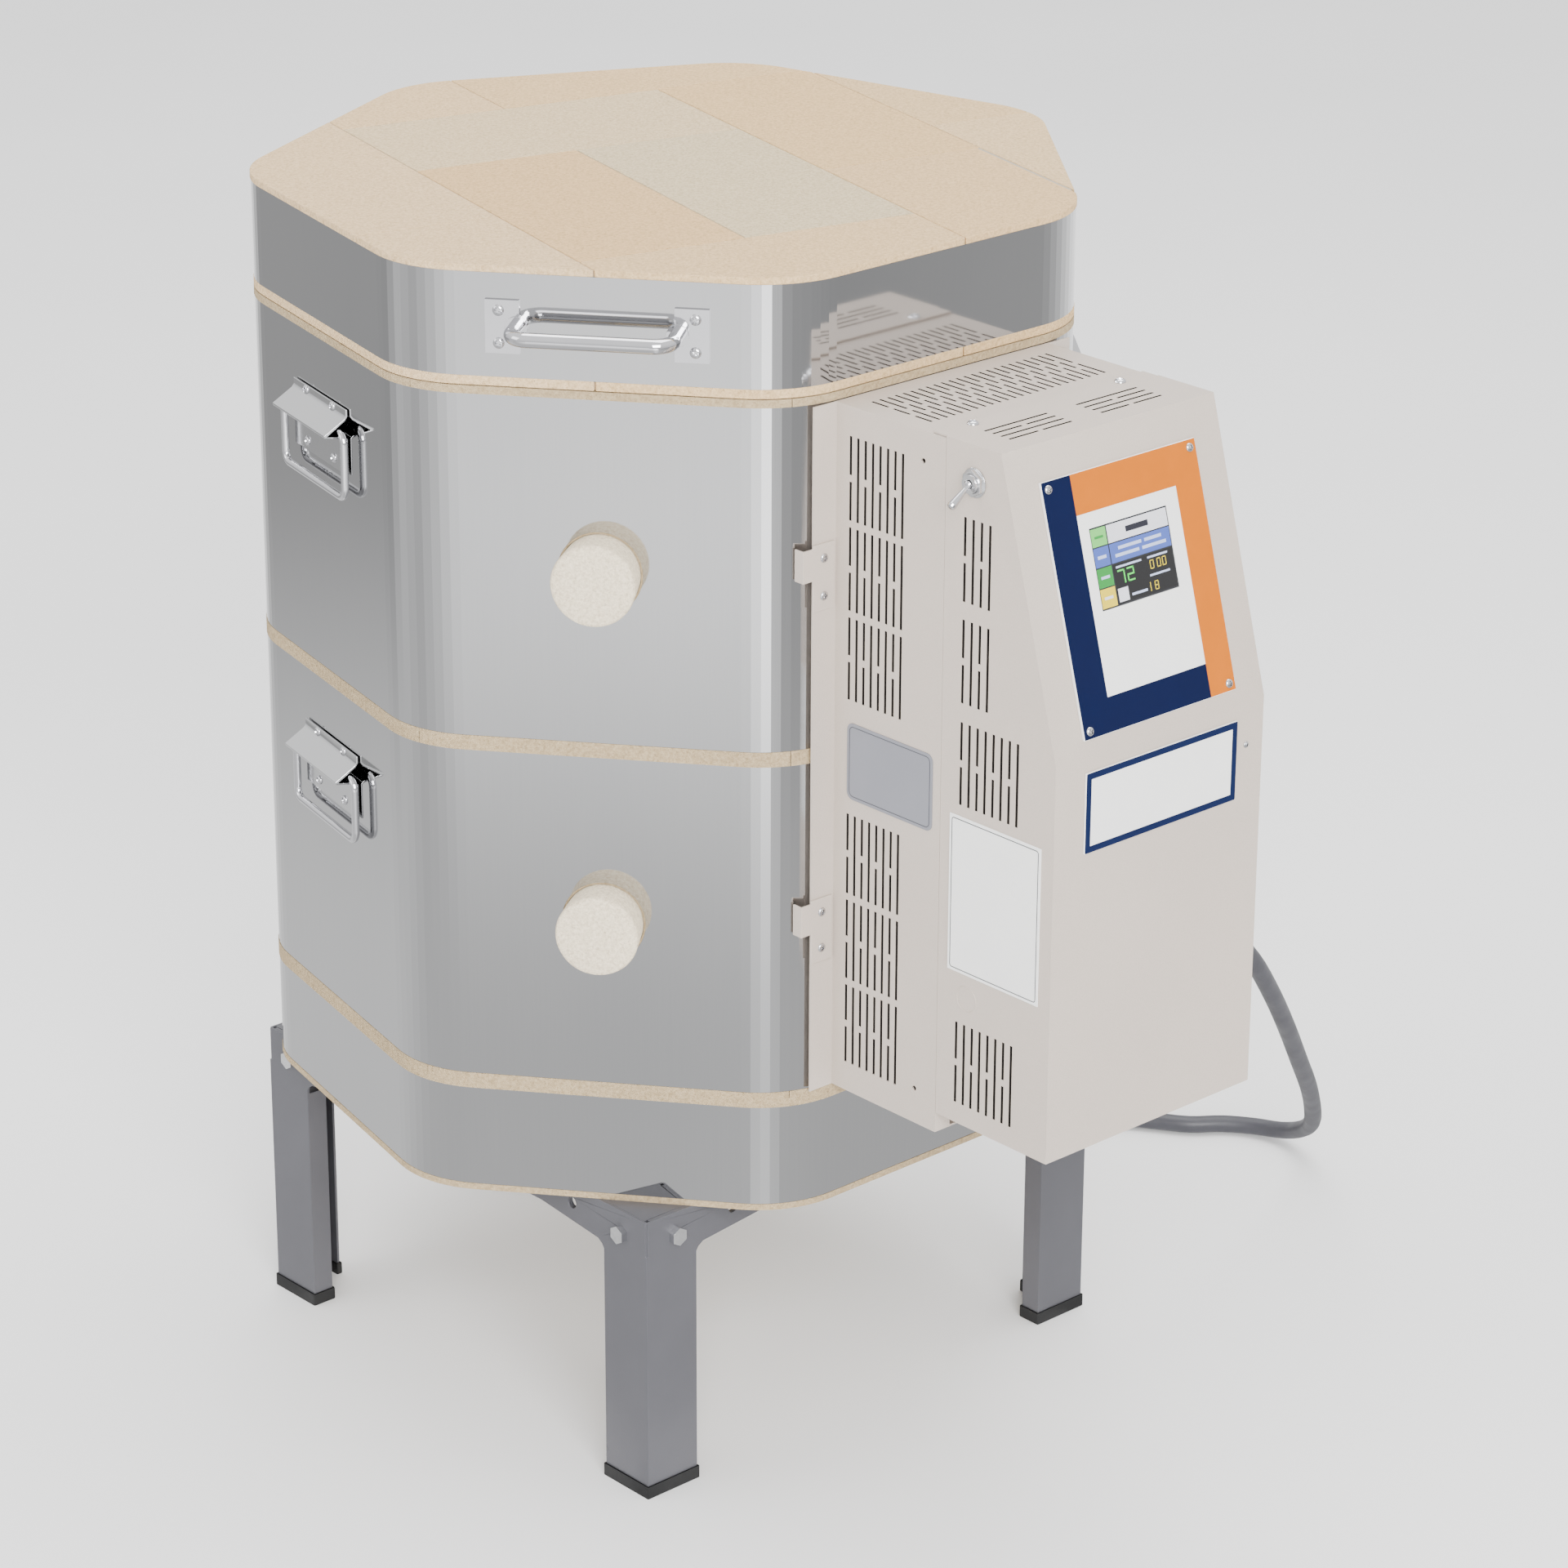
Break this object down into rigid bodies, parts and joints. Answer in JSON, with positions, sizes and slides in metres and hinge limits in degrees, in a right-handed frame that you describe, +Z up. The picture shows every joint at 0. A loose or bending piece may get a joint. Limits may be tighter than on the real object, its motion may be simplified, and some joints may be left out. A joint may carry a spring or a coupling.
{
  "type": "pottery kiln",
  "caption": "Seven-sided sectional top-loading electric pottery kiln with a hinged lid, side control box, peephole plugs and a four-legged stand.",
  "frame": {"origin": "on the floor, under the middle of the bounding box of everything but the mains cord", "axes": "+Z up; -Y is the side with the lid bar and the peephole plugs; the control box stands off the side between +X and -Y; the lid hinge is at +Y"},
  "size_m": [0.7296, 0.6873, 0.8305],
  "materials": {
    "leg": "satin grey powder coat",
    "cap": "matt black",
    "zinc": "bright zinc plate",
    "brick": "matt, granular insulating firebrick",
    "steel": "bright rolled stainless sheet",
    "element": "dull resistance wire",
    "porcelain": "white porcelain",
    "holder": "cream fired ceramic",
    "coat": "fine-textured warm grey powder coat",
    "label": "blank printed plate",
    "glass": "dark glossy display",
    "black": "matt black",
    "board": "green circuit board",
    "copper": "varnished laminations",
    "cord": "dark grey jacket",
    "brass": "bright brass"
  },
  "bodies": {
    "kiln_body": {"leg_front": "leg", "leg_left": "leg", "leg_right": "leg", "leg_rear": "leg", "foot_caps": "cap", "stand_rails": "leg", "stand_bolts": "zinc", "floor_slab": "brick", "floor_band": "steel", "lower_ring_bricks": "brick", "lower_ring_jacket": "steel", "upper_ring_bricks": "brick", "upper_ring_jacket": "steel", "element_holders": "holder", "heating_elements": "element", "element_tails": "element", "terminal_insulators": "porcelain", "thermocouple": "porcelain", "lower_lift_brackets": "steel", "upper_lift_brackets": "steel", "body_screws": "zinc", "base_hinge_leaf": "steel", "hinge_pin": "zinc", "element_cover": "coat", "cover_brackets": "coat", "cover_label": "label", "box_hinge_rod": "zinc", "cord_gland": "black", "power_cord": "cord", "cord_coil": "cord", "cord_plug": "black", "plug_blades": "brass"},
    "lid": {"lid_slab": "brick", "lid_band": "steel", "lid_handle_plates": "zinc", "lid_handle_bar": "zinc", "lid_screws": "zinc", "lid_hinge_leaf": "steel"},
    "control_unit": {"control_box": "coat", "box_baffle": "steel", "box_screws": "zinc", "panel_plate": "label", "panel_screws": "zinc", "touch_screen": "glass", "name_plate": "label", "side_plate": "label", "toggle_body": "black", "toggle_nut": "zinc", "power_relays": "black", "transformer": "copper", "control_board": "board", "terminal_block": "porcelain"},
    "switch_lever": {"toggle_lever": "zinc"},
    "bail_ul": {"bail_upper_left": "zinc"},
    "bail_ur": {"bail_upper_right": "zinc"},
    "bail_ll": {"bail_lower_left": "zinc"},
    "bail_lr": {"bail_lower_right": "zinc"},
    "plug_u": {"peep_plug_upper": "brick"},
    "plug_l": {"peep_plug_lower": "brick"}
  },
  "joints": [
    {"name": "lid_hinge", "type": "hinge", "parent": "kiln_body", "child": "lid", "pos_m": [-0.06174, 0.31989, 0.756], "axis": [-1, 0, 0], "range_deg": [0, 95]},
    {"name": "control_unit_tilt", "type": "hinge", "parent": "kiln_body", "child": "control_unit", "pos_m": [0.20877, -0.19406, 0.293], "axis": [0.6235, 0.7818, 0], "range_deg": [0, 35]},
    {"name": "main_switch", "type": "hinge", "parent": "control_unit", "child": "switch_lever", "pos_m": [0.17425, -0.28804, 0.7261], "axis": [-0.7818, 0.6235, 0], "range_deg": [0, 72]},
    {"name": "bail_upper_left_swing", "type": "hinge", "parent": "kiln_body", "child": "bail_ul", "pos_m": [-0.26541, -0.14075, 0.6984], "axis": [-0.6235, 0.7818, 0], "range_deg": [-4, 100]},
    {"name": "bail_upper_right_swing", "type": "hinge", "parent": "kiln_body", "child": "bail_ur", "pos_m": [0.19223, 0.07963, 0.6984], "axis": [0.2225, -0.9749, 0], "range_deg": [-4, 100]},
    {"name": "bail_lower_left_swing", "type": "hinge", "parent": "kiln_body", "child": "bail_ll", "pos_m": [-0.26541, -0.14075, 0.4629], "axis": [-0.6235, 0.7818, 0], "range_deg": [-4, 100]},
    {"name": "bail_lower_right_swing", "type": "hinge", "parent": "kiln_body", "child": "bail_lr", "pos_m": [0.19223, 0.07963, 0.4629], "axis": [0.2225, -0.9749, 0], "range_deg": [-4, 100]},
    {"name": "upper_plug_pull", "type": "slide", "parent": "kiln_body", "child": "plug_u", "axis": [0, -1, 0], "range_m": [0, 0.11]},
    {"name": "lower_plug_pull", "type": "slide", "parent": "kiln_body", "child": "plug_l", "axis": [0, -1, 0], "range_m": [0, 0.11]}
  ]
}
